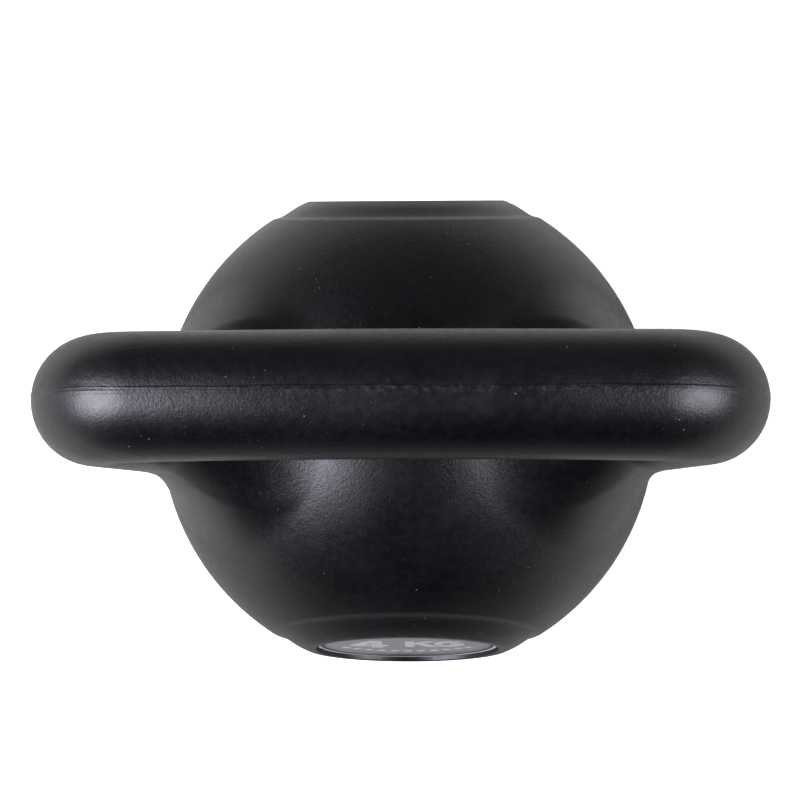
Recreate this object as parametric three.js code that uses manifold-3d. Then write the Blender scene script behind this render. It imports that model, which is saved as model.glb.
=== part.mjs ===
// A 4 kg kettlebell: a one-piece moulded plastic shell with its grip, filled with cement through a
// hole in its base, a plug in that hole, and a round label on its front and back faces.
// Millimetres, +Z up, +X along the grip, front face towards -Y, standing on Z = 0.
import * as THREE from 'three';
import { ParametricGeometry } from 'three/addons/geometries/ParametricGeometry.js';
import { mergeVertices } from 'three/addons/utils/BufferGeometryUtils.js';
import Module from 'manifold-3d';

const wasm = await Module();
wasm.setup();

// Ball
const BALL_RADIUS = 76;
const BALL_CENTRE_Z = 66;
const BASE_EDGE_RADIUS = 6; // rounding between the ball and the face it stands on
const WALL = 3;
const BASE_WALL = 4.5;
const GAP = 0.3; // clearance between neighbouring pieces

// Handle: a slightly arched grip, two tight corners and two horns that lean in towards the ball
const GRIP_RADIUS = 16.2;
const HORN_RADIUS = 16.35;
const GRIP_AXIS_Z = BALL_CENTRE_Z + 129; // centreline at the top of the arch
const ARCH_RADIUS = 420;
const HANDLE_REACH = 95; // widest point of the handle from the middle
const CORNER_RADIUS = 18.5;
const CORNER_DEPTH = 25; // the section grows from the grip's to the horn's radius over this height
const HORN_LEAN = THREE.MathUtils.degToRad(13);
const HORN_ROOT_Z = BALL_CENTRE_Z - 12; // the horns' centrelines end here, inside the ball

// Horn roots: the inner side sweeps out onto the ball, the front and back thicken a little
const SADDLE_RADIUS = 24;
const SADDLE_TOP_Z = BALL_CENTRE_Z + 95;
const CORNER_THICKENING = 0.45; // the corners are this much thicker than the grip, front to back
const CORNER_THICKENING_DEPTH = 9;
const HORN_THICKENING = 3;
const HORN_THICKENING_TOP_Z = BALL_CENTRE_Z + 61;
const HORN_THICKENING_DEPTH = 45; // the horns are thicker by HORN_THICKENING this far down

// Label faces: flat round faces cut into the front and back of the ball, leaning back slightly
const FACE_LEAN = THREE.MathUtils.degToRad(9.7);
const FACE_DISTANCE = 69.5; // from the ball's centre, along the face's normal
const FACE_RADIUS = 29.6;
const GROOVE_ANGLE = THREE.MathUtils.degToRad(33); // shallow groove around the face
const GROOVE_HALF_WIDTH = THREE.MathUtils.degToRad(1.8);
const GROOVE_DEPTH = 1.1;
const PEDESTAL_STEP = 0.35; // the ring between groove and face lies this far inside the ball
const LABEL_RECESS_RADIUS = 27.5;
const LABEL_RECESS_DEPTH = 2.1;
const LABEL_RADIUS = LABEL_RECESS_RADIUS - GAP;
const LABEL_THICKNESS = 0.5;

// Base: a shallow dish with the filler hole and its plug
const DISH_RADIUS = 24;
const DISH_DEPTH = 1;
const PLUG_HEAD_RADIUS = 15;
const PLUG_HEAD_THICKNESS = 1.4;
const PLUG_STEM_RADIUS = 11;
const PLUG_STEM_HEIGHT = 6.5;
const PLUG_WALL = 2;

const BALL_SIDES = 56;
const CORE_SIDES = 32;

// Points along an arc, both ends included; angles in radians from the first axis.
function arc(centreX, centreY, radius, start, end, steps) {
  return Array.from({ length: steps + 1 }, (_, i) => {
    const angle = start + ((end - start) * i) / steps;
    return new THREE.Vector2(centreX + radius * Math.cos(angle), centreY + radius * Math.sin(angle));
  });
}

function points(...pairs) {
  return pairs.map(([x, y]) => new THREE.Vector2(x, y));
}

// A closed geometry as a solid for joining and cutting.
function solidOf(geometry) {
  const bare = geometry.clone();
  bare.deleteAttribute('normal');
  bare.deleteAttribute('uv');
  const merged = mergeVertices(bare, 1e-4);
  const index = merged.index.array;
  const triangles = [];
  for (let i = 0; i < index.length; i += 3) {
    const [a, b, c] = index.slice(i, i + 3);
    if (a !== b && b !== c && c !== a) triangles.push(a, b, c);
  }
  return new wasm.Manifold(new wasm.Mesh({
    numProp: 3,
    vertProperties: new Float32Array(merged.attributes.position.array),
    triVerts: new Uint32Array(triangles),
  }));
}

function geometryOf(solid) {
  const mesh = solid.getMesh();
  const geometry = new THREE.BufferGeometry();
  geometry.setAttribute('position', new THREE.BufferAttribute(mesh.vertProperties, 3));
  geometry.setIndex(new THREE.BufferAttribute(mesh.triVerts, 1));
  geometry.computeVertexNormals();
  return geometry;
}

// A profile of (radius, height) points turned about the vertical axis.
function turned(profile, sides) {
  return new THREE.LatheGeometry(profile, sides).rotateX(Math.PI / 2);
}

// Points of the ball's profile, from its flat underside at floorZ to its top, `inset` inside it.
function ballProfile(inset, floorZ, steps) {
  const radius = BALL_RADIUS - inset;
  const edge = Math.max(BASE_EDGE_RADIUS - inset, 2);
  const edgeZ = floorZ + edge;
  const edgeX = Math.sqrt((radius - edge) ** 2 - (BALL_CENTRE_Z - edgeZ) ** 2);
  const tangent = Math.atan2(edgeZ - BALL_CENTRE_Z, edgeX);
  return [
    ...arc(edgeX, edgeZ, edge, -Math.PI / 2, tangent, 4),
    ...arc(0, BALL_CENTRE_Z, radius, tangent, Math.PI / 2, steps).slice(1, -1),
    new THREE.Vector2(0, BALL_CENTRE_Z + radius),
  ];
}

// Centreline of the handle in the XZ plane: left horn, corner, grip, corner, right horn.
function handleCurves() {
  const cornerX = HANDLE_REACH - HORN_RADIUS - CORNER_RADIUS;
  const archZ = GRIP_AXIS_Z - ARCH_RADIUS;
  const archEnd = Math.asin(cornerX / (ARCH_RADIUS - CORNER_RADIUS));
  const cornerZ = archZ + (ARCH_RADIUS - CORNER_RADIUS) * Math.cos(archEnd);
  const hornTopX = cornerX + CORNER_RADIUS * Math.cos(HORN_LEAN);
  const hornTopZ = cornerZ - CORNER_RADIUS * Math.sin(HORN_LEAN);
  const rootX = hornTopX - (hornTopZ - HORN_ROOT_Z) * Math.tan(HORN_LEAN);
  const up = Math.PI / 2;
  const line = (startX, startZ, endX, endZ) =>
    new THREE.LineCurve(new THREE.Vector2(startX, startZ), new THREE.Vector2(endX, endZ));
  const bend = (centreX, centreZ, radius, start, end) =>
    new THREE.EllipseCurve(centreX, centreZ, radius, radius, start, end, true);
  return [
    line(-rootX, HORN_ROOT_Z, -hornTopX, hornTopZ),
    bend(-cornerX, cornerZ, CORNER_RADIUS, Math.PI + HORN_LEAN, up + archEnd),
    bend(0, archZ, ARCH_RADIUS, up + archEnd, up - archEnd),
    bend(cornerX, cornerZ, CORNER_RADIUS, up - archEnd, -HORN_LEAN),
    line(hornTopX, hornTopZ, rootX, HORN_ROOT_Z),
  ];
}

// How far the horn's inner side has swept out onto the ball at this height. A surface inside the
// outer one follows a wider arc about the same centre.
function saddleReach(z, inset) {
  const radius = SADDLE_RADIUS + inset;
  const drop = THREE.MathUtils.clamp(SADDLE_TOP_Z - z, 0, radius);
  return radius - Math.sqrt(radius ** 2 - drop ** 2);
}

// Radius of the handle across its centreline, in the XZ plane, at this height.
function halfWidth(z) {
  const share = THREE.MathUtils.clamp((GRIP_AXIS_Z - z) / CORNER_DEPTH, 0, 1);
  return THREE.MathUtils.lerp(GRIP_RADIUS, HORN_RADIUS, share);
}

// Half thickness of the handle from front to back at this height.
function halfThickness(z) {
  const atCorner = THREE.MathUtils.clamp((GRIP_AXIS_Z - z) / CORNER_THICKENING_DEPTH, 0, 1);
  const depth = Math.max(HORN_THICKENING_TOP_Z - z, 0) / HORN_THICKENING_DEPTH;
  return halfWidth(z) + CORNER_THICKENING * atCorner + HORN_THICKENING * depth;
}

// Heights of a horn's sections from its root up to the corner, closest where the saddle spreads.
function hornHeights(topZ, fineness) {
  const saddleSteps = 2 + 2 * fineness;
  const saddle = Array.from({ length: saddleSteps + 1 }, (_, i) =>
    SADDLE_TOP_Z - SADDLE_RADIUS * Math.cos((i / saddleSteps) * (Math.PI / 2)));
  const belowSteps = 2 * fineness;
  const below = Array.from({ length: belowSteps }, (_, i) =>
    THREE.MathUtils.lerp(HORN_ROOT_Z, saddle[0], i / belowSteps));
  return [...below, ...saddle, topZ];
}

// Sections along the centreline: each has a centre and the direction in which the handle runs.
function handleStations(fineness) {
  const [leftHorn, leftCorner, grip, rightCorner, rightHorn] = handleCurves();
  const topZ = leftHorn.v2.y;
  const climb = hornHeights(topZ, fineness).map((z) => (z - HORN_ROOT_Z) / (topZ - HORN_ROOT_Z));
  const cornerSteps = 3 * fineness;
  const turn = Array.from({ length: cornerSteps - 1 }, (_, i) => (i + 1) / cornerSteps);
  const places = [
    [leftHorn, climb],
    [leftCorner, turn],
    [grip, [0, 0.25, 0.5, 0.75, 1]],
    [rightCorner, turn],
    [rightHorn, climb.map((t) => 1 - t).reverse()],
  ];
  return places.flatMap(([curve, parameters]) =>
    parameters.map((t) => ({ centre: curve.getPoint(t), along: curve.getTangent(t) })));
}

// The handle as a section swept along its centreline, closed by a flat cap at each root. The
// section is round on the grip, and its inner side narrows to a web where it sweeps onto the ball.
function handleSolid(inset, fineness, sides) {
  const stations = handleStations(fineness);
  const rows = stations.length + 1;
  const surface = (u, v, target) => {
    const row = Math.round(v * rows);
    const { centre, along } = stations[THREE.MathUtils.clamp(row - 1, 0, stations.length - 1)];
    const size = row === 0 || row === rows ? 0 : 1;
    const outward = Math.cos(2 * Math.PI * u);
    const across = size * (halfWidth(centre.y) - inset) * outward;
    const forward = size * (halfThickness(centre.y) - inset) * Math.sin(2 * Math.PI * u);
    const z = centre.y + along.x * across;
    const web = size * saddleReach(z, inset) * Math.max(-outward, 0) ** 3;
    target.set(centre.x - along.y * across - Math.sign(centre.x) * web, -forward, z);
  };
  return solidOf(new ParametricGeometry(surface, sides, rows));
}

// Turns and lifts a shape made about the Z axis so that its axis is a label face's normal.
function placeOnFace(object, side) {
  const tilt = side === 'front' ? Math.PI / 2 - FACE_LEAN : FACE_LEAN - Math.PI / 2;
  const matrix = new THREE.Matrix4().makeRotationX(tilt).setPosition(0, 0, BALL_CENTRE_Z);
  return object.applyMatrix4(matrix);
}

// Everything outside the flat label face, its recess and the groove around it.
function faceCutter(side) {
  const outer = BALL_RADIUS + 20;
  const onRing = (angle, depth) => {
    const radius = BALL_RADIUS - depth;
    return [radius * Math.sin(angle), radius * Math.cos(angle)];
  };
  const ringStart = Math.asin((FACE_RADIUS + 1) / BALL_RADIUS);
  const profile = points(
    [0, FACE_DISTANCE - LABEL_RECESS_DEPTH],
    [LABEL_RECESS_RADIUS, FACE_DISTANCE - LABEL_RECESS_DEPTH],
    [LABEL_RECESS_RADIUS, FACE_DISTANCE],
    [FACE_RADIUS, FACE_DISTANCE],
    onRing(ringStart, PEDESTAL_STEP),
    onRing(GROOVE_ANGLE - GROOVE_HALF_WIDTH, PEDESTAL_STEP),
    onRing(GROOVE_ANGLE, GROOVE_DEPTH),
    onRing(GROOVE_ANGLE + GROOVE_HALF_WIDTH, -1),
    [outer, outer],
    [0, outer],
  );
  return solidOf(placeOnFace(turned(profile, 40), side));
}

// Everything beyond the flat that keeps the inside clear of a label face.
function faceStop(side, distance) {
  const profile = points([0, distance], [BALL_RADIUS, distance], [BALL_RADIUS, 2 * distance], [0, 2 * distance]);
  return solidOf(placeOnFace(turned(profile, 24), side));
}

// The space inside the shell, or the core that fills it, `inset` inside the outer surface.
function innerSolid(inset, bottom, floorZ) {
  const profile = [...bottom, ...ballProfile(inset, floorZ, 12)];
  const faceDistance = FACE_DISTANCE - LABEL_RECESS_DEPTH - inset;
  return solidOf(turned(profile, CORE_SIDES))
    .subtract(faceStop('front', faceDistance))
    .subtract(faceStop('back', faceDistance))
    .add(handleSolid(inset, 1, 12));
}

function makeShell() {
  const outside = solidOf(turned([new THREE.Vector2(0, 0), ...ballProfile(0, 0, 22)], BALL_SIDES))
    .add(handleSolid(0, 2, 20))
    .subtract(faceCutter('front'))
    .subtract(faceCutter('back'));
  const seatZ = DISH_DEPTH + PLUG_HEAD_THICKNESS + GAP;
  const base = points(
    [0, -1],
    [DISH_RADIUS, -1],
    [DISH_RADIUS, DISH_DEPTH],
    [PLUG_HEAD_RADIUS + GAP, DISH_DEPTH],
    [PLUG_HEAD_RADIUS + GAP, seatZ],
    [PLUG_STEM_RADIUS + GAP, seatZ],
    [PLUG_STEM_RADIUS + GAP, BASE_WALL + 1],
    [0, BASE_WALL + 1],
  );
  return outside
    .subtract(innerSolid(WALL, points([0, BASE_WALL]), BASE_WALL))
    .subtract(solidOf(turned(base, CORE_SIDES)));
}

function makeFill() {
  const floorZ = BASE_WALL + GAP;
  const pocketRadius = PLUG_STEM_RADIUS + 2 * GAP;
  const pocketZ = DISH_DEPTH + PLUG_HEAD_THICKNESS + PLUG_STEM_HEIGHT + 2 * GAP;
  return innerSolid(WALL + GAP, points([0, pocketZ], [pocketRadius, pocketZ], [pocketRadius, floorZ]), floorZ);
}

// A cup-shaped stem under a flat head.
function makePlug() {
  const headTop = DISH_DEPTH + PLUG_HEAD_THICKNESS;
  const stemTop = headTop + PLUG_STEM_HEIGHT;
  const profile = points(
    [0, DISH_DEPTH],
    [PLUG_HEAD_RADIUS - 0.5, DISH_DEPTH],
    [PLUG_HEAD_RADIUS, DISH_DEPTH + 0.5],
    [PLUG_HEAD_RADIUS, headTop],
    [PLUG_STEM_RADIUS, headTop],
    [PLUG_STEM_RADIUS - 0.5, stemTop],
    [PLUG_STEM_RADIUS - PLUG_WALL, stemTop],
    [PLUG_STEM_RADIUS - PLUG_WALL, headTop],
    [0, headTop],
  );
  return solidOf(turned(profile, CORE_SIDES));
}

function makeLabel(side) {
  const floor = FACE_DISTANCE - LABEL_RECESS_DEPTH + GAP;
  const profile = points(
    [0, floor],
    [LABEL_RADIUS, floor],
    [LABEL_RADIUS, floor + LABEL_THICKNESS],
    [0, floor + LABEL_THICKNESS],
  );
  return solidOf(placeOnFace(turned(profile, 48), side));
}

function piece(name, solid, colour, roughness) {
  const material = new THREE.MeshStandardMaterial({ color: colour, roughness, metalness: 0 });
  const mesh = new THREE.Mesh(geometryOf(solid), material);
  mesh.name = name;
  return mesh;
}

const kettlebell = new THREE.Group();
kettlebell.add(
  piece('shell', makeShell(), 0x1b1a1e, 0.5),
  piece('cement_fill', makeFill(), 0x8d8a84, 0.95),
  piece('filler_plug', makePlug(), 0x19191b, 0.55),
  piece('front_label', makeLabel('front'), 0x8f8f92, 0.4),
  piece('back_label', makeLabel('back'), 0x8f8f92, 0.4),
);

export default kettlebell;
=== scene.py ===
"""A 4 kg kettlebell: moulded plastic skin, cement core, filler plug and two round face labels.

Shapes are worked out in millimetres about the ball's centre, +X along the grip and +Z up, and are
placed in the frame in metres."""

import math

import bmesh
import bpy
import numpy as np
from mathutils import Euler, Matrix, Vector


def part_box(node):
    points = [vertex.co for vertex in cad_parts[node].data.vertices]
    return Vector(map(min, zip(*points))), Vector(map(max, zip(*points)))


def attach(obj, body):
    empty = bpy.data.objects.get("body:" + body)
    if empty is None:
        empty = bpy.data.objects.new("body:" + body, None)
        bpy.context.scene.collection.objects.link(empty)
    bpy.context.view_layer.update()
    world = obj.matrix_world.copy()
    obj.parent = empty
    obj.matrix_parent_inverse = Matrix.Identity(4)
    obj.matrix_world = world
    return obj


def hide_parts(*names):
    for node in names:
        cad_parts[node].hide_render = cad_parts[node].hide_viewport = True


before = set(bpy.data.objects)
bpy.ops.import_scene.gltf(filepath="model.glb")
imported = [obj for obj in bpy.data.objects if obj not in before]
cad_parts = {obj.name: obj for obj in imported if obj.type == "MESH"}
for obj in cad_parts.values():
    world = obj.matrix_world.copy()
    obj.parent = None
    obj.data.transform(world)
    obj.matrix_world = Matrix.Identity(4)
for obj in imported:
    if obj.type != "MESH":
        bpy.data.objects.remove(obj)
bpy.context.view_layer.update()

MM = 0.001
BALL_RADIUS = 76.0
BALL_CENTRE = Vector((0.0, 0.0, 66.0))
SHELL_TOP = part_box("shell")[1].z / MM - BALL_CENTRE.z

# Handle: a slightly arched grip, two corners and two leaning horns, as one centreline in the XZ
# plane. Angles along the arcs are from the vertical.
GRIP_RADIUS = 16.2
HORN_RADIUS = 16.35
CORNER_THICKENING = 0.45
CORNER_THICKENING_DEPTH = 9.0
HORN_THICKENING = 3.0
THICKENING_TOP = 61.0
THICKENING_DEPTH = 45.0
GRIP_Z = SHELL_TOP - GRIP_RADIUS
WIDENING_START = 4.0
WIDENING_DEPTH = 25.0
ARCH_RADIUS = 420.0
ARCH_CENTRE_Z = GRIP_Z - ARCH_RADIUS
CORNER_RADIUS = 18.5
HANDLE_REACH = 95.3
CORNER_X = HANDLE_REACH - HORN_RADIUS - CORNER_RADIUS
ARCH_END = math.asin(CORNER_X / (ARCH_RADIUS - CORNER_RADIUS))
CORNER_Z = ARCH_CENTRE_Z + (ARCH_RADIUS - CORNER_RADIUS) * math.cos(ARCH_END)
HORN_LEAN = math.radians(13)
HORN_TOP = np.array([CORNER_X + CORNER_RADIUS * math.cos(HORN_LEAN),
                     CORNER_Z - CORNER_RADIUS * math.sin(HORN_LEAN)])
HORN_RUN = np.array([-math.sin(HORN_LEAN), -math.cos(HORN_LEAN)])
HORN_ROOT_DEPTH = 12
HORN_LENGTH = (HORN_TOP[1] + HORN_ROOT_DEPTH) / math.cos(HORN_LEAN)

# Fillet between handle and ball: tight at the outer crease, wide in the saddle between the horns
CREASE_RADIUS = 21.0
SADDLE_RADIUS = 34.0
CREASE_X = 72
FILLET_CHANGE = 27

# Label faces
FACE_LEAN = math.radians(9.7)
FACE_DISTANCE = 69.5
FACE_CUT_ANGLE = math.radians(38)
RIM_ROUNDING = 3.2
RIM_RADIUS = 30.0
PEDESTAL_DEPTH = 0.32
STEP_DEPTH = 0.74
STEP_START, STEP_RUN = 32.9, 2.6  # the step down from the ball, in degrees from the face's normal
RISE_START, RISE_RUN = 30.2, 4.6  # the rise back to the ring around the face
RING_OUTER_ANGLE, RING_INNER_ANGLE = 37.3, 24.6
RECESS_RADIUS = 27.6
RECESS_DEPTH = 2.1
LABEL_RADIUS = 27.2
LABEL_FLOOR = FACE_DISTANCE - RECESS_DEPTH + 0.3
LABEL_THICKNESS = 0.5

# Base
BASE_CUT = 63.8
BASE_EDGE_RADIUS = 6.0
DISH_RADIUS = 24.0
DISH_DEPTH = 1.0
PLUG_SEAT_RADIUS = 15.3
PLUG_HEAD_RADIUS = 15.0
PLUG_HEAD = 1.4
PLUG_STEM_RADIUS = 11.0
PLUG_STEM_HEIGHT = 6.5
PLUG_WALL = 2.0
HOLE_RADIUS = 11.3
BASE_WALL = 4.5
WALL = 3.0
GAP = 0.3
DOWN = Vector((0, 0, -1))

# Parting line: a scraped band all round the XZ outline with a thin lip along each side
SEAM_STATIONS = np.array([-1.9, -1.45, -1.15, -0.98, -0.84, -0.70, -0.52, -0.30, -0.05,
                          0.20, 0.40, 0.54, 0.68, 0.82, 0.96, 1.15, 1.45, 1.9])
SEAM_SHIFT = 0.05
SEAM_ARM = 110  # turns the angle round the outline into a length along it
BACK_LIP, BACK_LIP_WIDTH, BACK_LIP_HEIGHT = 0.82, 0.17, 0.20
FRONT_LIP, FRONT_LIP_WIDTH, FRONT_LIP_HEIGHT = -0.84, 0.15, 0.06
GROOVE, GROOVE_WIDTH, GROOVE_DEPTH = 0.47, 0.17, 0.13
BAND_HEIGHT = 0.03

# Points round each kind of ring. The base's rings and the inside's share one hole edge.
FACE_SIDES = 192
BASE_SIDES = 64
PLUG_SIDES = 72
LABEL_SIDES = 144


# ---------------------------------------------------------------- fields

def smoothstep(t):
    t = np.clip(t, 0, 1)
    return t * t * (3 - 2 * t)


def round_union(a, b, radius):
    """Union of two distances with a round fillet between them."""
    radius = np.maximum(radius, 1e-6)
    u = np.maximum(radius - a, 0)
    v = np.maximum(radius - b, 0)
    return np.maximum(radius, np.minimum(a, b)) - np.hypot(u, v)


def half_width(z):
    """The handle's radius across its centreline, which grows a little round the corners."""
    share = smoothstep((GRIP_Z - WIDENING_START - z) / WIDENING_DEPTH)
    return GRIP_RADIUS + (HORN_RADIUS - GRIP_RADIUS) * share


def half_thickness(z):
    """Half of the handle's thickness from front to back, which grows at the corners and again
    down the horns."""
    at_corner = smoothstep((GRIP_Z - z) / CORNER_THICKENING_DEPTH)
    depth = np.maximum(THICKENING_TOP - z, 0) / THICKENING_DEPTH
    return half_width(z) + CORNER_THICKENING * at_corner + HORN_THICKENING * depth


def handle_field(x, y, z):
    """Distance to the handle, for x >= 0, and its direction from the nearest centreline point."""
    angle = np.clip(np.arctan2(x, z - ARCH_CENTRE_Z), 0, ARCH_END)
    grip = np.stack([ARCH_RADIUS * np.sin(angle), ARCH_CENTRE_Z + ARCH_RADIUS * np.cos(angle)])
    angle = np.clip(np.arctan2(x - CORNER_X, z - CORNER_Z), ARCH_END, math.pi / 2 + HORN_LEAN)
    corner = np.stack([CORNER_X + CORNER_RADIUS * np.sin(angle),
                       CORNER_Z + CORNER_RADIUS * np.cos(angle)])
    along = (x - HORN_TOP[0]) * HORN_RUN[0] + (z - HORN_TOP[1]) * HORN_RUN[1]
    horn = HORN_TOP[:, None] + np.clip(along, 0, HORN_LENGTH) * HORN_RUN[:, None]
    centres = np.stack([grip, corner, horn])
    across = np.hypot(x - centres[:, 0], z - centres[:, 1])
    nearest = np.argmin(across, 0)[None]
    across = np.take_along_axis(across, nearest, 0)[0]
    centre = np.take_along_axis(centres, nearest[:, None], 0)[0]
    wide = across / half_width(z)
    deep = y / half_thickness(z)
    direction = np.stack([x - centre[0], y, z - centre[1]])
    direction = direction / np.maximum(np.linalg.norm(direction, axis=0), 1e-9)
    return (np.hypot(wide, deep) - 1) * GRIP_RADIUS, direction


def body_field(points, inset=0.0):
    """Distance to the skin of ball and handle together, `inset` inside it."""
    x, y, z = np.abs(points[:, 0]), points[:, 1], points[:, 2]
    handle, direction = handle_field(x, y, z)
    reach = np.maximum(np.linalg.norm(points, axis=1), 1e-9)
    ball = reach - BALL_RADIUS
    facing = (x * direction[0] + y * direction[1] + z * direction[2]) / reach
    radius = CREASE_RADIUS + (SADDLE_RADIUS - CREASE_RADIUS) * smoothstep((CREASE_X - x) / FILLET_CHANGE)
    return round_union(ball, handle, radius * np.clip(1 - facing, 0, 1)) + inset


def gradient(points, inset):
    step = 0.05
    slopes = []
    for axis in range(3):
        offset = np.zeros(3)
        offset[axis] = step
        slopes.append(body_field(points + offset, inset) - body_field(points - offset, inset))
    return np.stack(slopes, 1) / (2 * step)


def onto_skin(points, inset, rounds=2):
    """Points moved along the field's slope onto the skin."""
    for _ in range(rounds):
        slope = gradient(points, inset)
        length2 = np.maximum((slope ** 2).sum(1), 1e-6)
        points = points - (body_field(points, inset) / length2)[:, None] * slope
    return points


# ---------------------------------------------------------------- skin mesh

def surface_net(axes, values):
    """Vertices and outward quads of the zero surface of a field sampled on a rectilinear grid."""
    cells = np.array(values.shape) - 1
    inside = values < 0
    total = np.zeros((cells.prod(), 3))
    count = np.zeros(cells.prod())
    quads = []
    for axis in range(3):
        low, high = [slice(None)] * 3, [slice(None)] * 3
        low[axis], high[axis] = slice(None, -1), slice(1, None)
        low, high = tuple(low), tuple(high)
        crossing = np.argwhere(inside[low] != inside[high])
        start = values[low][tuple(crossing.T)]
        end = values[high][tuple(crossing.T)]
        point = np.stack([axes[n][crossing[:, n]] for n in range(3)], 1)
        width = axes[axis][crossing[:, axis] + 1] - axes[axis][crossing[:, axis]]
        point[:, axis] += start / (start - end) * width
        around = []
        for du, dv in ((0, 0), (-1, 0), (-1, -1), (0, -1)):
            cell = crossing.copy()
            cell[:, (axis + 1) % 3] += du
            cell[:, (axis + 2) % 3] += dv
            around.append(np.ravel_multi_index(cell.T, cells))
        around = np.stack(around, 1)
        for corner in around.T:
            np.add.at(total, corner, point)
            np.add.at(count, corner, 1)
        quads.append(np.where((start < 0)[:, None], around, around[:, ::-1]))
    used = np.flatnonzero(count)
    number = np.full(count.size, -1)
    number[used] = np.arange(used.size)
    return total[used] / count[used, None], number[np.concatenate(quads)], used


def relaxed(points, quads, inset, keep_y, rounds=4):
    """Evens out the spacing of the vertices over the skin. Those of the seam keep their place in Y."""
    pairs = np.concatenate([quads[:, [a, (a + 1) % 4]] for a in range(4)])
    count = np.bincount(pairs[:, 0], minlength=len(points))
    for _ in range(rounds):
        middle = np.zeros_like(points)
        for axis in range(3):
            middle[:, axis] = np.bincount(pairs[:, 0], points[pairs[:, 1], axis], len(points)) / count
        move = 0.5 * (middle - points)
        move[keep_y, 1] = 0
        points = onto_skin(points + move, inset, 1)
    return points


def grid_axis(low, high, step):
    return np.linspace(low, high, round((high - low) / step) + 1)


def skin_mesh(inset, cell, seam):
    """The skin of ball and handle as points and quads, with fine rows along the seam if asked."""
    reach_x, reach_y, top = HANDLE_REACH + 3, BALL_RADIUS + 3.5, SHELL_TOP + 3.5
    x = grid_axis(-reach_x, reach_x, cell)
    z = grid_axis(-BALL_RADIUS - 3, top, cell)
    if seam:
        side = grid_axis(SEAM_STATIONS[-1] + 0.75, reach_y, cell)
        middles = (SEAM_STATIONS[1:] + SEAM_STATIONS[:-1]) / 2
        y = np.concatenate([-side[::-1], [-2.15], middles, [2.15], side])
    else:
        y = grid_axis(-reach_y, reach_y, cell)
    grid = np.stack(np.meshgrid(x, y, z, indexing="ij"), -1).reshape(-1, 3)
    values = body_field(grid, inset).reshape(len(x), len(y), len(z))
    points, quads, cells = surface_net((x, y, z), values)
    row = np.unravel_index(cells, np.array(values.shape) - 1)[1]
    in_seam = np.zeros(len(points), bool)
    if seam:
        first = len(side)
        in_seam = (row >= first) & (row < first + len(SEAM_STATIONS))
        points[in_seam, 1] = SEAM_STATIONS[row[in_seam] - first]
    points = onto_skin(points, inset, 2)
    if seam:
        points[in_seam, 1] = SEAM_STATIONS[row[in_seam] - first]
    return relaxed(points, quads, inset, in_seam), quads, in_seam


def waves(s, seed, lengths, heights):
    """A smooth irregular line: waves of the given lengths and heights with seeded phases."""
    phases = np.random.default_rng(seed).uniform(0, 2 * math.pi, (len(lengths), 2))
    total = np.zeros_like(s)
    for length, height, (phase, drift) in zip(lengths, heights, phases):
        sway = 0.7 * np.sin(s / (3.1 * length) + drift)
        total += height * np.sin(2 * math.pi * s / length + phase + sway)
    return total


def ridge(t, place, width):
    return np.exp(-((t - place) / width) ** 2)


def with_seam(points, in_seam):
    """Raises the parting line: two thin lips with a scraped band between, wandering a little in Y."""
    p = points[in_seam]
    s = np.arctan2(p[:, 2], p[:, 0]) * SEAM_ARM
    slope = gradient(p, 0.0)
    normal = slope / np.linalg.norm(slope, axis=1)[:, None]
    t = p[:, 1]
    strength = 0.75 + waves(s, 3, (61, 23, 9.0), (0.22, 0.18, 0.12))
    lip = np.clip(strength, 0.15, 1.3)
    notch = np.clip(0.6 + waves(s, 4, (43, 17, 7.0), (0.35, 0.25, 0.15)), 0, 1.2)
    ragged = waves(s, 5, (4.3, 2.9, 2.1), (0.03, 0.03, 0.02))
    back_lip = (BACK_LIP_HEIGHT * lip + ragged) * ridge(t, BACK_LIP, BACK_LIP_WIDTH)
    front_lip = (FRONT_LIP_HEIGHT * (1.5 - lip) + 0.5 * ragged) * ridge(t, FRONT_LIP, FRONT_LIP_WIDTH)
    groove = GROOVE_DEPTH * notch * ridge(t, GROOVE, GROOVE_WIDTH)
    band = BAND_HEIGHT * smoothstep((0.95 - np.abs(t)) / 0.3)
    height = back_lip + front_lip - groove + band
    fade = smoothstep((1.9 - np.abs(t)) / 0.8)
    wander = SEAM_SHIFT + waves(s, 6, (150, 47, 19), (0.22, 0.14, 0.07))
    moved = p + normal * height[:, None]
    moved[:, 1] += wander * fade
    points = points.copy()
    points[in_seam] = moved
    return points


# ---------------------------------------------------------------- turned patches

def axes_about(normal):
    """Two directions that make a right-handed set with the normal."""
    side = Vector((1, 0, 0)) if abs(normal.x) < 0.9 else Vector((0, 1, 0))
    u = (side - normal * side.dot(normal)).normalized()
    return u, normal.cross(u)


def arc(centre, radius, start, end, steps):
    """Points (across, along) of an arc, ends included, angles from the across direction."""
    return [(centre[0] + radius * math.cos(start + (end - start) * n / steps),
             centre[1] + radius * math.sin(start + (end - start) * n / steps)) for n in range(steps + 1)]


def add_ring(bm, normal, radius, height, sides):
    u, v = axes_about(normal)
    ring = []
    for n in range(sides):
        angle = -math.pi + 2 * math.pi * n / sides
        ring.append(bm.verts.new(normal * height + (u * math.cos(angle) + v * math.sin(angle)) * radius))
    return ring


def bridge(bm, outer, inner, material=0):
    """Quads between two rings of the same count; the outer one comes first in travel over the skin."""
    count = len(outer)
    for n in range(count):
        m = (n + 1) % count
        face = bm.faces.new((outer[n], outer[m], inner[m], inner[n]))
        face.material_index = material


def close_centre(bm, ring, normal, height):
    centre = bm.verts.new(normal * height)
    for n, vertex in enumerate(ring):
        bm.faces.new((vertex, ring[(n + 1) % len(ring)], centre))


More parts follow.
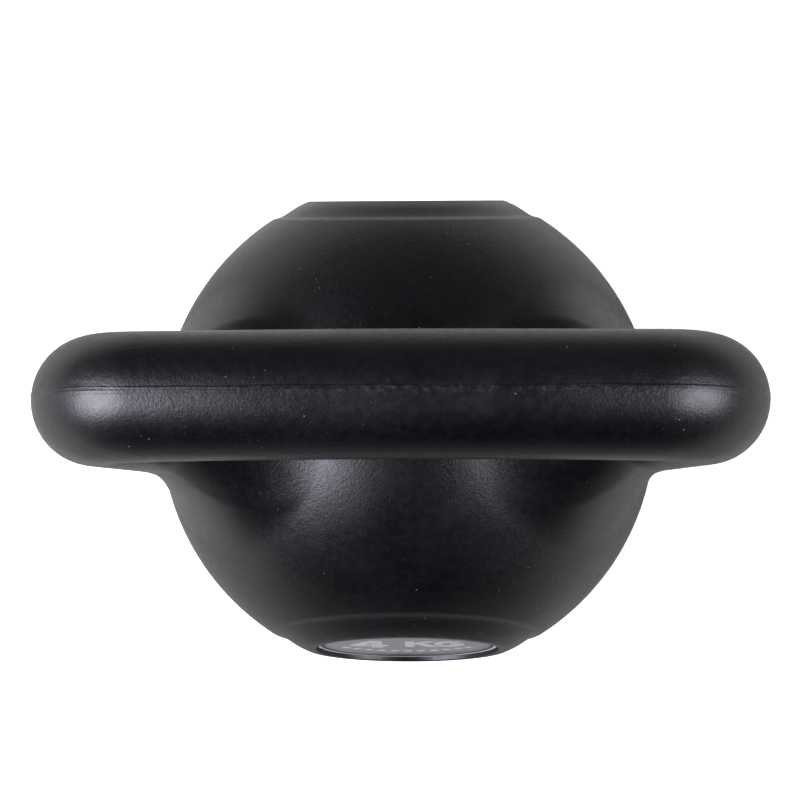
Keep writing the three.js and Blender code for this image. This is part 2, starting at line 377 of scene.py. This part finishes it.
def stitch(bm, normal, outer, inner):
    """Triangles between an uneven loop and an even ring inside it."""
    u, v = axes_about(normal)

    def around(vertices):
        pairs = sorted(((math.atan2(p.co.dot(v), p.co.dot(u)), n) for n, p in enumerate(vertices)))
        return [a for a, _ in pairs], [vertices[n] for _, n in pairs]

    outer_angles, outer = around(outer)
    inner_angles, inner = around(inner)
    outer_angles.append(outer_angles[0] + 2 * math.pi)
    inner_angles.append(inner_angles[0] + 2 * math.pi)
    i = j = 0
    while i < len(outer) or j < len(inner):
        a, b = outer[i % len(outer)], inner[j % len(inner)]
        take_outer = j == len(inner) or (i < len(outer) and outer_angles[i + 1] <= inner_angles[j + 1])
        if take_outer:
            i += 1
            bm.faces.new((a, outer[i % len(outer)], b))
        else:
            j += 1
            bm.faces.new((a, inner[j % len(inner)], b))


def cut_open(bm, normal, height):
    """Cuts away what lies beyond a plane and returns the vertices of the cut."""
    geometry = bm.verts[:] + bm.edges[:] + bm.faces[:]
    bmesh.ops.bisect_plane(bm, geom=geometry, dist=1e-4, plane_co=normal * height, plane_no=normal,
                           clear_outer=True)
    rim = [v for v in bm.verts if v.is_boundary and abs(v.co.dot(normal) - height) < 1e-2]
    bmesh.ops.remove_doubles(bm, verts=rim, dist=0.25)
    return [v for v in bm.verts if v.is_boundary and abs(v.co.dot(normal) - height) < 1e-2]


def lay_rings(bm, normal, loop, profile, sides):
    """Fills a cut with rings at the profile's (radius, height) points and closes it at the axis."""
    rings = [add_ring(bm, normal, radius, height, sides) for radius, height in profile]
    stitch(bm, normal, loop, rings[0])
    for outer, inner in zip(rings, rings[1:]):
        bridge(bm, outer, inner)
    return rings[-1]


def face_normal(side):
    return Vector((0, -side * math.cos(FACE_LEAN), math.sin(FACE_LEAN)))


def face_profile():
    """From the ball, over the step and the ring around the face, to the recess that holds the label."""
    profile = []
    count = 34
    start, end = math.radians(RING_OUTER_ANGLE), math.radians(RING_INNER_ANGLE)
    for n in range(count + 1):
        angle = start + (end - start) * n / count
        degrees = math.degrees(angle)
        depth = STEP_DEPTH * smoothstep((STEP_START - degrees) / STEP_RUN)
        depth -= (STEP_DEPTH - PEDESTAL_DEPTH) * smoothstep((RISE_START - degrees) / RISE_RUN)
        profile.append(((BALL_RADIUS - depth) * math.sin(angle), (BALL_RADIUS - depth) * math.cos(angle)))
    outer = BALL_RADIUS - PEDESTAL_DEPTH
    centre = (math.sqrt((outer - RIM_ROUNDING) ** 2 - (FACE_DISTANCE - RIM_ROUNDING) ** 2),
              FACE_DISTANCE - RIM_ROUNDING)
    lean = math.atan2(centre[1], centre[0])
    profile += arc(centre, RIM_ROUNDING, lean, math.pi / 2, 6)
    edge = 0.3
    profile += arc((RECESS_RADIUS + edge, FACE_DISTANCE - edge), edge, math.pi / 2, math.pi, 3)
    floor = FACE_DISTANCE - RECESS_DEPTH
    profile += arc((RECESS_RADIUS - edge, floor + edge), edge, 0, -math.pi / 2, 3)
    profile += [(radius, floor) for radius in (25, 20, 14, 7)]
    return profile


def base_profile():
    """From the ball, round the base's edge, over the flat ring and the dish, into the filler hole."""
    down = BALL_CENTRE.z
    edge = BASE_EDGE_RADIUS
    centre = (math.sqrt((BALL_RADIUS - edge) ** 2 - (down - edge) ** 2), down - edge)
    lean = math.atan2(centre[1], centre[0])
    sphere_start = math.asin((BASE_CUT + 0.35) / BALL_RADIUS)
    profile = arc((0, 0), BALL_RADIUS, sphere_start, lean, 3)[:-1]
    profile += arc(centre, edge, lean, math.pi / 2, 5)
    soft = 0.8
    profile += arc((DISH_RADIUS + soft, down - soft), soft, math.pi / 2, math.radians(150), 3)
    dish = down - DISH_DEPTH
    profile += [(DISH_RADIUS - 0.6, dish + 0.12), (DISH_RADIUS - 1.6, dish), (PLUG_SEAT_RADIUS + 0.3, dish)]
    seat = dish - PLUG_HEAD - 0.3
    profile += [(PLUG_SEAT_RADIUS, dish - 0.3), (PLUG_SEAT_RADIUS, seat), (HOLE_RADIUS + 0.3, seat),
                (HOLE_RADIUS, seat - 0.3), (HOLE_RADIUS, down - BASE_WALL)]
    return profile


# ---------------------------------------------------------------- pieces

def new_object(name, bm, materials, smooth=True):
    """A piece from a mesh in millimetres about the ball's centre, riding on the one body."""
    bmesh.ops.translate(bm, verts=bm.verts, vec=BALL_CENTRE)
    bmesh.ops.scale(bm, verts=bm.verts, vec=(MM, MM, MM))
    mesh = bpy.data.meshes.new(name)
    bm.to_mesh(mesh)
    bm.free()
    mesh.polygons.foreach_set("use_smooth", [smooth] * len(mesh.polygons))
    piece = bpy.data.objects.new(name, mesh)
    bpy.context.scene.collection.objects.link(piece)
    for material in materials:
        mesh.materials.append(material)
    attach(piece, "root")
    return piece


def bmesh_of(points, quads):
    bm = bmesh.new()
    vertices = [bm.verts.new(p) for p in points]
    for quad in quads:
        bm.faces.new([vertices[n] for n in quad])
    return bm


def inner_skin(inset, floor_height, hole_radius):
    """The inside of the wall, or the core in it: the skin moved inwards, flat behind both labels
    and at the base, with a ring left at the hole in its floor."""
    points, quads, _ = skin_mesh(inset, 3.2, False)
    bm = bmesh_of(points, quads)
    stop = FACE_DISTANCE - RECESS_DEPTH - inset
    for side in (1, -1):
        normal = face_normal(side)
        loop = cut_open(bm, normal, stop)
        reach = math.sqrt((BALL_RADIUS - inset) ** 2 - stop ** 2)
        profile = [(reach * share, stop) for share in (0.93, 0.6, 0.3)]
        ring = lay_rings(bm, normal, loop, profile, BASE_SIDES)
        close_centre(bm, ring, normal, stop)
    loop = cut_open(bm, DOWN, floor_height)
    reach = math.sqrt((BALL_RADIUS - inset) ** 2 - floor_height ** 2)
    radii = (reach * 0.95, (reach + hole_radius) / 2, hole_radius)
    return bm, lay_rings(bm, DOWN, loop, [(radius, floor_height) for radius in radii], BASE_SIDES)


def make_shell(material):
    points, quads, in_seam = skin_mesh(0.0, 1.6, True)
    bm = bmesh_of(with_seam(points, in_seam), quads)
    for side in (1, -1):
        normal = face_normal(side)
        loop = cut_open(bm, normal, BALL_RADIUS * math.cos(FACE_CUT_ANGLE))
        ring = lay_rings(bm, normal, loop, face_profile(), FACE_SIDES)
        close_centre(bm, ring, normal, FACE_DISTANCE - RECESS_DEPTH)
    loop = cut_open(bm, DOWN, BASE_CUT)
    lay_rings(bm, DOWN, loop, base_profile(), BASE_SIDES)
    inside, _ = inner_skin(WALL, BALL_CENTRE.z - BASE_WALL, HOLE_RADIUS)
    bmesh.ops.reverse_faces(inside, faces=inside.faces[:])
    inside_mesh = bpy.data.meshes.new("inside")
    inside.to_mesh(inside_mesh)
    inside.free()
    bm.from_mesh(inside_mesh)
    bpy.data.meshes.remove(inside_mesh)
    at_hole = [v for v in bm.verts if abs(math.hypot(v.co.x, v.co.y) - HOLE_RADIUS) < 0.01
               and abs(v.co.z + BALL_CENTRE.z - BASE_WALL) < 0.01]
    bmesh.ops.remove_doubles(bm, verts=at_hole, dist=0.01)
    shell = new_object("kettlebell_shell", bm, [material])
    mark_edges(shell)
    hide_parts("shell")


def mark_edges(shell):
    """Stores how exposed each point is to rubbing: the rims of the faces, the base's edge, the seam."""
    co = np.empty(len(shell.data.vertices) * 3)
    shell.data.vertices.foreach_get("co", co)
    p = co.reshape(-1, 3) / MM - np.array(BALL_CENTRE)
    edge = np.exp(-((p[:, 2] + BALL_CENTRE.z - 0.4) / 1.2) ** 2)
    for side in (1, -1):
        height = p @ np.array(face_normal(side))
        radius = np.sqrt(np.maximum((p ** 2).sum(1) - height ** 2, 0))
        rim = np.hypot(height - FACE_DISTANCE, radius - RIM_RADIUS)
        edge = np.maximum(edge, np.exp(-(rim / 1.3) ** 2))
    outside = np.linalg.norm(p, axis=1) > BALL_RADIUS + 1.5
    seam = np.exp(-((p[:, 1] - SEAM_SHIFT) / 0.9) ** 2) * np.where(outside, 1, 0.6)
    edge = np.maximum(edge, 0.7 * seam)
    attribute = shell.data.attributes.new("edge", "FLOAT", "POINT")
    attribute.data.foreach_set("value", edge.astype(np.float32))


def make_core(material):
    """The cement inside, cast against the wall, with a pocket left by the plug's stem."""
    floor = BALL_CENTRE.z - BASE_WALL - GAP
    pocket = PLUG_STEM_RADIUS + 2 * GAP
    bm, mouth = inner_skin(WALL + GAP, floor, pocket)
    top = BALL_CENTRE.z - DISH_DEPTH - PLUG_HEAD - PLUG_STEM_HEIGHT - 2 * GAP
    ring = add_ring(bm, DOWN, pocket, top, len(mouth))
    bridge(bm, mouth, ring)
    close_centre(bm, ring, DOWN, top)
    core = new_object("cement_core", bm, [material])
    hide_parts("cement_fill")


def make_plug(material):
    """A push-in cap: a domed head with a moulding pip and a cup-shaped stem with two grip beads."""
    head = BALL_CENTRE.z - DISH_DEPTH
    seat = head - PLUG_HEAD
    tip = seat - PLUG_STEM_HEIGHT
    bore = PLUG_STEM_RADIUS - PLUG_WALL
    profile = [(0.7, head - 0.25), (0.9, head - 0.45), (1.6, head - 0.5), (2.0, head - 0.3),
               (5, head - 0.15), (9, head), (12, head)]
    profile += arc((PLUG_HEAD_RADIUS - 0.6, head - 0.6), 0.6, math.pi / 2, 0, 4)
    profile += [(PLUG_HEAD_RADIUS, seat + 0.15), (PLUG_HEAD_RADIUS - 0.15, seat),
                (PLUG_STEM_RADIUS + 0.2, seat), (PLUG_STEM_RADIUS - 0.1, seat - 0.3)]
    for level in (1.6, 3.4):
        profile += [(PLUG_STEM_RADIUS - 0.1, seat - level + 0.5), (PLUG_STEM_RADIUS + 0.15, seat - level),
                    (PLUG_STEM_RADIUS - 0.1, seat - level - 0.5)]
    profile += [(PLUG_STEM_RADIUS - 0.2, tip + 1.0), (PLUG_STEM_RADIUS - 0.8, tip), (bore, tip),
                (bore, seat + 0.2), (bore - 0.3, seat)]
    bm = bmesh.new()
    rings = [add_ring(bm, DOWN, radius, height, PLUG_SIDES) for radius, height in profile]
    for outer, inner in zip(rings, rings[1:]):
        bridge(bm, inner, outer)
    close_centre(bm, rings[0], DOWN, head - 0.2)
    close_centre(bm, rings[-1][::-1], DOWN, seat)
    plug = new_object("base_plug", bm, [material])
    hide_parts("filler_plug")


class LabelPlane:
    """Places points of a label: across and up as its reader sees them, and height above the recess."""

    def __init__(self, side):
        self.normal = face_normal(side)
        self.across = Vector((side, 0, 0))
        self.up = self.normal.cross(self.across)

    def point(self, across, up, height):
        return self.normal * (LABEL_FLOOR + height) + self.across * across + self.up * up


def label_rings():
    """(centre height, radius, height above the recess, material of the band inside it)."""
    top = LABEL_THICKNESS
    return [(0, LABEL_RADIUS - 0.1, 0, 1), (0, LABEL_RADIUS, 0.1, 1), (0, LABEL_RADIUS, top - 0.02, 1),
            (0, LABEL_RADIUS - 0.1, top + 0.08, 1), (0, LABEL_RADIUS - 0.85, top + 0.08, 1),
            (0, LABEL_RADIUS - 0.95, top - 0.02, 2), (1.15, LABEL_RADIUS - 2.35, top - 0.02, 0),
            (1.0, LABEL_RADIUS - 2.5, top, 0), (0.8, 18, top, 0), (0.4, 9, top, 0)]


def make_label(name, side, materials):
    """A printed disc with a raised pale border and a dark crescent inside it."""
    plane = LabelPlane(side)
    bm = bmesh.new()
    angles = [2 * math.pi * n / LABEL_SIDES for n in range(LABEL_SIDES)]
    rings = []
    for centre, radius, height, _ in label_rings():
        rings.append([bm.verts.new(plane.point(radius * math.cos(a), centre + radius * math.sin(a), height))
                      for a in angles])
    for (outer, inner), row in zip(zip(rings, rings[1:]), label_rings()):
        bridge(bm, outer, inner, row[3])
    for height, ring in ((0, rings[0][::-1]), (LABEL_THICKNESS, rings[-1])):
        centre = bm.verts.new(plane.point(0, 0.4 * (height > 0), height))
        for n, vertex in enumerate(ring):
            face = bm.faces.new((vertex, ring[(n + 1) % LABEL_SIDES], centre))
            face.material_index = 0 if height else 1
    label = new_object(name, bm, materials)
    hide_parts("front_label" if side > 0 else "back_label")


def strokes_of_four():
    post = [[(6.2, 0), (9.6, 0), (9.6, 3.2), (6.2, 3.2)], [(6.2, 3.2), (9.6, 3.2), (9.6, 6.1), (6.2, 6.1)],
            [(6.2, 6.1), (9.6, 6.1), (9.6, 15), (6.2, 15), (6.2, 10.0)]]
    bar = [[(0, 3.2), (6.2, 3.2), (6.2, 6.1), (3.6, 6.1), (0, 6.1)],
           [(9.6, 3.2), (11.4, 3.2), (11.4, 6.1), (9.6, 6.1)]]
    return post + bar + [[(0, 6.1), (3.6, 6.1), (6.2, 10.0), (6.2, 15)]]


def strokes_of_k():
    return [[(0, 0), (2.7, 0), (2.7, 5.0), (2.7, 8.5), (2.7, 12), (0, 12)],
            [(2.7, 5.0), (3.7, 6.08), (5.7, 8.23), (9.2, 12), (5.9, 12), (2.7, 8.5)],
            [(3.7, 6.08), (6.4, 0), (9.9, 0), (5.7, 8.23)]]


def strokes_of_g():
    middle, outer, inner, count = (5.0, 6.0), (4.6, 6.0), (2.2, 3.4), 14
    start, end = math.radians(42), math.radians(360)

    def at(n, size):
        angle = start + (end - start) * n / count
        return (middle[0] + size[0] * math.cos(angle), middle[1] + size[1] * math.sin(angle))

    ring = [[at(n, inner), at(n, outer), at(n + 1, outer), at(n + 1, inner)] for n in range(count)]
    return ring + [[(7.2, 6.0), (9.6, 6.0), (9.6, 7.1), (5.2, 7.1), (5.2, 4.9), (7.0, 4.9)]]


def marking_strokes():
    """The weight mark and a row of plain dashes on a shallow arc under it, across and up."""
    placed = []
    for strokes, across, up in ((strokes_of_four(), -17.0, -3.2), (strokes_of_k(), -0.6, -1.9),
                                (strokes_of_g(), 7.6, -1.9)):
        placed += [[(round(x + across, 4), round(y + up, 4)) for x, y in stroke] for stroke in strokes]
    dashes = 11
    for n in range(dashes):
        lean = math.radians(-90 + 42 * (2 * n / (dashes - 1) - 1))
        centre, radius, half_width, half_height = (0, 22.0), 34.0, 1.15, 1.1
        out = Vector((math.cos(lean), math.sin(lean)))
        along = Vector((-out.y, out.x))
        middle = Vector((centre[0] + 0.82 * radius * out.x, centre[1] + radius * out.y))
        corners = ((-1, 1), (1, 1), (1, -1), (-1, -1))
        placed.append([tuple(middle + along * half_width * a + out * half_height * b) for a, b in corners])
    return placed


def sides_of(stroke):
    return list(zip(stroke, stroke[1:] + stroke[:1]))


def anticlockwise(stroke):
    area = sum(x0 * y1 - x1 * y0 for (x0, y0), (x1, y1) in sides_of(stroke))
    return stroke if area > 0 else stroke[::-1]


def make_marking(name, side, material):
    """Raised strokes. Those that touch share their corners, and have a wall only on the outline."""
    plane = LabelPlane(side)
    low, high = LABEL_THICKNESS - 0.05, LABEL_THICKNESS + 0.06
    strokes = [anticlockwise(stroke) for stroke in marking_strokes()]
    sides = {pair for stroke in strokes for pair in sides_of(stroke)}
    bm = bmesh.new()
    corners = dict.fromkeys(corner for stroke in strokes for corner in stroke)
    bottom = {corner: bm.verts.new(plane.point(*corner, low)) for corner in corners}
    top = {corner: bm.verts.new(plane.point(*corner, high)) for corner in corners}
    for stroke in strokes:
        bm.faces.new([top[corner] for corner in stroke])
        bm.faces.new([bottom[corner] for corner in stroke[::-1]])
        for a, b in sides_of(stroke):
            if (b, a) not in sides:
                bm.faces.new((bottom[a], bottom[b], top[b], top[a]))
    marking = new_object(name, bm, [material], smooth=False)


# ---------------------------------------------------------------- materials

class Nodes:
    """A material's node tree, with short calls for the nodes used here."""

    def __init__(self, name):
        self.material = bpy.data.materials.new(name)
        self.material.use_nodes = True
        self.tree = self.material.node_tree
        self.shader = self.tree.nodes["Principled BSDF"]
        self.place = self.tree.nodes.new("ShaderNodeTexCoord").outputs["Object"]

    def node(self, kind, **settings):
        node = self.tree.nodes.new(kind)
        for key, value in settings.items():
            setattr(node, key, value)
        return node

    def feed(self, socket, value):
        if isinstance(value, bpy.types.NodeSocket):
            self.tree.links.new(value, socket)
        else:
            socket.default_value = value

    def stretched(self, scale, rotation=(0, 0, 0)):
        node = self.node("ShaderNodeMapping")
        self.feed(node.inputs["Vector"], self.place)
        node.inputs["Scale"].default_value = scale
        node.inputs["Rotation"].default_value = rotation
        return node.outputs["Vector"]

    def noise(self, size, detail=2.0, roughness=0.5, place=None):
        """Noise with blobs of about this size in millimetres."""
        node = self.node("ShaderNodeTexNoise")
        self.feed(node.inputs["Vector"], place or self.place)
        node.inputs["Scale"].default_value = 1 / (size * MM)
        node.inputs["Detail"].default_value = detail
        node.inputs["Roughness"].default_value = roughness
        return node.outputs["Fac"]

    def cells(self, size, feature="F1"):
        node = self.node("ShaderNodeTexVoronoi", feature=feature)
        self.feed(node.inputs["Vector"], self.place)
        node.inputs["Scale"].default_value = 1 / (size * MM)
        return node.outputs["Distance"]

    def math(self, operation, a, b=0.0):
        node = self.node("ShaderNodeMath", operation=operation)
        self.feed(node.inputs[0], a)
        self.feed(node.inputs[1], b)
        return node.outputs[0]

    def span(self, value, low, high, to_low=0.0, to_high=1.0):
        node = self.node("ShaderNodeMapRange", interpolation_type="SMOOTHSTEP")
        for key, number in (("Value", value), ("From Min", low), ("From Max", high), ("To Min", to_low),
                            ("To Max", to_high)):
            self.feed(node.inputs[key], number)
        return node.outputs["Result"]

    def mix(self, share, a, b):
        node = self.node("ShaderNodeMix", data_type="RGBA")
        self.feed(node.inputs["Factor"], share)
        self.feed(node.inputs[6], a)
        self.feed(node.inputs[7], b)
        return node.outputs[2]

    def bump(self, height, distance, strength=1.0, below=None):
        node = self.node("ShaderNodeBump")
        self.feed(node.inputs["Height"], height)
        node.inputs["Distance"].default_value = distance * MM
        node.inputs["Strength"].default_value = strength
        if below is not None:
            self.feed(node.inputs["Normal"], below)
        return node.outputs["Normal"]

    def attribute(self, name):
        return self.node("ShaderNodeAttribute", attribute_name=name).outputs["Fac"]


def colour(red, green, blue):
    return (red, green, blue, 1.0)


def grained_plastic(name, dark, light, roughness, grain):
    """Black moulded plastic: pebbled grain, cloudy sheen, fine scratches, dust and rubbed edges."""
    m = Nodes(name)
    cloud = m.noise(26, 3)
    mottle = m.noise(2.2, 2)
    tint = m.mix(m.span(cloud, 0.3, 0.7), dark, light)
    specks = m.math("MULTIPLY", m.span(m.cells(3.1), 0.085, 0.055), m.span(m.noise(9, 1), 0.5, 0.62))
    scratch_place = m.stretched((1.0, 0.035, 1.0), (0.3, 0.2, 0.9))
    scratches = m.span(m.noise(0.5, 1, place=scratch_place), 0.70, 0.76)
    scratches = m.math("MULTIPLY", scratches, m.span(m.noise(34, 1), 0.52, 0.66))
    rubbed = m.math("MULTIPLY", m.attribute("edge"), m.span(m.noise(1.6, 3, 0.65), 0.42, 0.68))
    marks = m.math("MAXIMUM", m.math("MULTIPLY", rubbed, 0.5), m.math("MULTIPLY", scratches, 0.4))
    marked = m.mix(marks, tint, colour(0.045, 0.044, 0.048))
    dust = colour(0.16, 0.155, 0.16)
    m.feed(m.shader.inputs["Base Color"], m.mix(m.math("MULTIPLY", specks, 0.55), marked, dust))
    rough = m.span(cloud, 0.25, 0.75, roughness - 0.03, roughness + 0.03)
    rough = m.math("ADD", rough, m.span(mottle, 0.3, 0.7, -0.025, 0.025))
    rough = m.math("ADD", rough, m.math("MULTIPLY", marks, 0.12))
    m.feed(m.shader.inputs["Roughness"], rough)
    m.shader.inputs["IOR"].default_value = 1.5
    pebbles = m.math("ADD", m.math("MULTIPLY", m.noise(0.5, 2, 0.55), 0.65),
                     m.math("MULTIPLY", m.cells(0.8, "SMOOTH_F1"), 0.5))
    normal = m.bump(pebbles, grain)
    normal = m.bump(m.noise(7, 2), 0.05, 1.0, normal)
    normal = m.bump(scratches, -0.01, 1.0, normal)
    m.feed(m.shader.inputs["Normal"], normal)
    return m.material


def cement(name):
    """Grey mortar with sand grains, and air holes darkened with painted shade."""
    m = Nodes(name)
    base = m.mix(m.span(m.noise(14, 4), 0.3, 0.7), colour(0.20, 0.195, 0.18), colour(0.33, 0.32, 0.30))
    grains = m.span(m.cells(1.8), 0.15, 0.4)
    pit_shade_and_depth = m.span(m.cells(6.5), 0.16, 0.10)
    sandy = m.mix(grains, colour(0.42, 0.39, 0.34), base)
    # The air holes are darkened in colour: painted shade inside them, while the bump below gives their
    # depth.
    m.feed(m.shader.inputs["Base Color"], m.mix(pit_shade_and_depth, sandy, colour(0.09, 0.088, 0.08)))
    m.feed(m.shader.inputs["Roughness"], m.span(m.noise(3, 2), 0.3, 0.7, 0.82, 0.97))
    normal = m.bump(m.noise(1.2, 4), 0.25)
    m.feed(m.shader.inputs["Normal"], m.bump(pit_shade_and_depth, -0.6, 1.0, normal))
    return m.material


GRIME_TOP = 56 * MM
GRIME_BOTTOM = 44 * MM
GRIME_RAGGEDNESS = 14 * MM


def printed(name, low, high, roughness, grime=0.0):
    """Ink or film on the label: slight cloudiness, grime along the lower edge, faint orange peel."""
    m = Nodes(name)
    split = m.node("ShaderNodeSeparateXYZ")
    m.feed(split.inputs[0], m.place)
    ragged = m.math("MULTIPLY", m.noise(9, 4, 0.6), GRIME_RAGGEDNESS)
    above = m.math("SUBTRACT", split.outputs["Z"], ragged)
    dirt = m.span(above, GRIME_BOTTOM, GRIME_TOP, grime, 0.0)
    film = m.mix(m.span(m.noise(5, 3, 0.6), 0.3, 0.7), low, high)
    m.feed(m.shader.inputs["Base Color"], m.mix(dirt, film, colour(0.03, 0.026, 0.026)))
    rough = m.span(m.noise(2.5, 2), 0.3, 0.7, roughness - 0.05, roughness + 0.07)
    m.feed(m.shader.inputs["Roughness"], rough)
    m.shader.inputs["IOR"].default_value = 1.48
    m.feed(m.shader.inputs["Normal"], m.bump(m.noise(0.9, 2), 0.012))
    return m.material


# ---------------------------------------------------------------- studio

CAMERA_DISTANCE = 0.640
CAMERA_LEAN = math.radians(3.55)
CAMERA_SIDE = math.radians(1.12)
CAMERA_ROLL = math.radians(-0.12)
CAMERA_LENS = 92.9
AIM_ABOVE = math.radians(0.723)
AIM_LEFT = math.radians(0.214)

FLOOR_HALF = 1.6
FLOOR_GLOW = 0.5
# How bright the floor looks in a reflection: in front of the kettlebell, far and near, and around it
FLOOR_FAR_FRONT = 0.10
FLOOR_NEAR_FRONT = 0.13
FLOOR_AROUND = 0.45
FLOOR_MIRROR_TINT = (1.05, 1.07, 0.94)

WORLD_BASE = 0.008
WORLD_LEFT = 0.35
WORLD_RIGHT = 0.3
WORLD_BACK = 0.12
WORLD_FRONT = -0.02
WORLD_SEEN = 1.1


def make_camera():
    """Looks down on the kettlebell from above, leaning a little to its front."""
    data = bpy.data.cameras.new("camera")
    data.lens = CAMERA_LENS
    data.sensor_width = 36
    camera = bpy.data.objects.new("camera", data)
    bpy.context.scene.collection.objects.link(camera)
    centre = BALL_CENTRE * MM
    away = Vector((math.sin(CAMERA_SIDE), -math.sin(CAMERA_LEAN), 0))
    away.z = math.sqrt(1 - away.length_squared)
    turn = Euler((CAMERA_LEAN, CAMERA_SIDE, 0)).to_matrix()
    turn = turn @ Euler((AIM_ABOVE, 0, 0)).to_matrix() @ Euler((0, AIM_LEFT, 0)).to_matrix()
    turn = turn @ Euler((0, 0, CAMERA_ROLL)).to_matrix()
    camera.matrix_world = Matrix.Translation(centre + away * CAMERA_DISTANCE) @ turn.to_4x4()
    bpy.context.scene.camera = camera


def make_floor():
    """A pale sheet under the kettlebell, large enough for every view."""
    bm = bmesh.new()
    bmesh.ops.create_grid(bm, x_segments=8, y_segments=8, size=FLOOR_HALF)
    mesh = bpy.data.meshes.new("floor")
    bm.to_mesh(mesh)
    bm.free()
    m = Nodes("floor_paper")
    shade = m.mix(m.span(m.noise(60, 3), 0.3, 0.7), colour(0.86, 0.86, 0.86), colour(0.88, 0.88, 0.88))
    rays = m.node("ShaderNodeLightPath").outputs
    split = m.node("ShaderNodeSeparateXYZ")
    m.feed(split.inputs[0], m.place)
    front = m.span(split.outputs["Y"], -0.55, -0.30, FLOOR_FAR_FRONT, FLOOR_NEAR_FRONT)
    around = m.math("ADD", m.math("ABSOLUTE", split.outputs["X"]), split.outputs["Y"])
    level = m.span(around, -0.18, 0.12, front, FLOOR_AROUND)
    mirrored = m.node("ShaderNodeCombineColor")
    for channel, share in zip(mirrored.inputs[:3], FLOOR_MIRROR_TINT):
        m.feed(channel, m.math("MULTIPLY", level, share))
    m.feed(m.shader.inputs["Base Color"], m.mix(rays["Is Glossy Ray"], shade, mirrored.outputs[0]))
    m.shader.inputs["Roughness"].default_value = 0.9
    m.shader.inputs["Specular IOR Level"].default_value = 0.0
    m.shader.inputs["Emission Color"].default_value = colour(1, 1, 1)
    m.feed(m.shader.inputs["Emission Strength"], m.math("MULTIPLY", rays["Is Camera Ray"], FLOOR_GLOW))
    mesh.materials.append(m.material)
    floor = bpy.data.objects.new("floor", mesh)
    bpy.context.scene.collection.objects.link(floor)


def make_softbox(name, towards, distance, width, height, radiance, tint):
    """A rectangular light facing the kettlebell from a direction, with the given brightness."""
    data = bpy.data.lights.new(name, "AREA")
    data.shape = "RECTANGLE"
    data.size, data.size_y = width, height
    data.energy = radiance * math.pi * width * height
    data.color = tint
    light = bpy.data.objects.new(name, data)
    bpy.context.scene.collection.objects.link(light)
    towards = Vector(towards).normalized()
    light.location = BALL_CENTRE * MM + towards * distance
    light.rotation_euler = towards.to_track_quat("Z", "Y").to_euler()


def make_world():
    """Soft surroundings: dim above and in front, brighter to both sides and behind."""
    world = bpy.data.worlds.new("studio")
    bpy.context.scene.world = world
    world.use_nodes = True
    tree = world.node_tree
    background = tree.nodes["Background"]

    def math_node(operation, *values):
        node = tree.nodes.new("ShaderNodeMath")
        node.operation = operation
        for socket, value in zip(node.inputs, values):
            if isinstance(value, bpy.types.NodeSocket):
                tree.links.new(value, socket)
            else:
                socket.default_value = value
        return node.outputs[0]

    split = tree.nodes.new("ShaderNodeSeparateXYZ")
    tree.links.new(tree.nodes.new("ShaderNodeTexCoord").outputs["Generated"], split.inputs[0])
    x, y, _ = split.outputs
    total = WORLD_BASE
    glows = ((x, -1, WORLD_LEFT, 2.5), (x, 1, WORLD_RIGHT, 2.5),
             (y, 1, WORLD_BACK, 2.0), (y, -1, WORLD_FRONT, 2.0))
    for axis, sign, strength, power in glows:
        reach = math_node("MAXIMUM", math_node("MULTIPLY", axis, sign), 0.0)
        total = math_node("ADD", total, math_node("MULTIPLY", math_node("POWER", reach, power), strength))
    seen = tree.nodes.new("ShaderNodeLightPath").outputs["Is Camera Ray"]
    shown = math_node("ADD", math_node("MULTIPLY", seen, WORLD_SEEN),
                      math_node("MULTIPLY", math_node("SUBTRACT", 1.0, seen), total))
    background.inputs["Color"].default_value = colour(0.97, 0.95, 1.0)
    tree.links.new(shown, background.inputs["Strength"])


shell_plastic = grained_plastic("shell_plastic", dark=colour(0.0008, 0.0006, 0.0012),
                                light=colour(0.0018, 0.0014, 0.0024), roughness=0.37, grain=0.065)
plug_plastic = grained_plastic("plug_plastic", dark=colour(0.016, 0.016, 0.017),
                               light=colour(0.022, 0.022, 0.023), roughness=0.42, grain=0.02)
label_field = printed("label_field", colour(0.195, 0.195, 0.178), colour(0.228, 0.228, 0.207), 0.38, 0.85)
label_border = printed("label_border", colour(0.48, 0.48, 0.50), colour(0.56, 0.56, 0.58), 0.35, 0.5)
label_dark = printed("label_dark", colour(0.035, 0.03, 0.033), colour(0.05, 0.045, 0.048), 0.4)
label_ink = printed("label_ink", colour(0.42, 0.41, 0.40), colour(0.48, 0.47, 0.455), 0.4, 0.7)

make_camera()
make_floor()
make_softbox("left_softbox", towards=(-0.745, -0.12, 0.655), distance=1.2, width=0.84, height=0.78,
             radiance=14.5, tint=(0.93, 0.915, 1.06))
make_softbox("right_softbox", towards=(0.77, -0.10, 0.63), distance=1.2, width=0.68, height=0.72,
             radiance=9.5, tint=(0.945, 0.925, 1.05))
make_world()
make_shell(shell_plastic)
make_core(cement("cement"))
make_plug(plug_plastic)
for label_name, label_side in (("front", 1), ("back", -1)):
    make_label(label_name + "_label_disc", label_side, [label_field, label_border, label_dark])
    make_marking(label_name + "_label_marking", label_side, label_ink)

bpy.context.scene.view_settings.view_transform = "Standard"
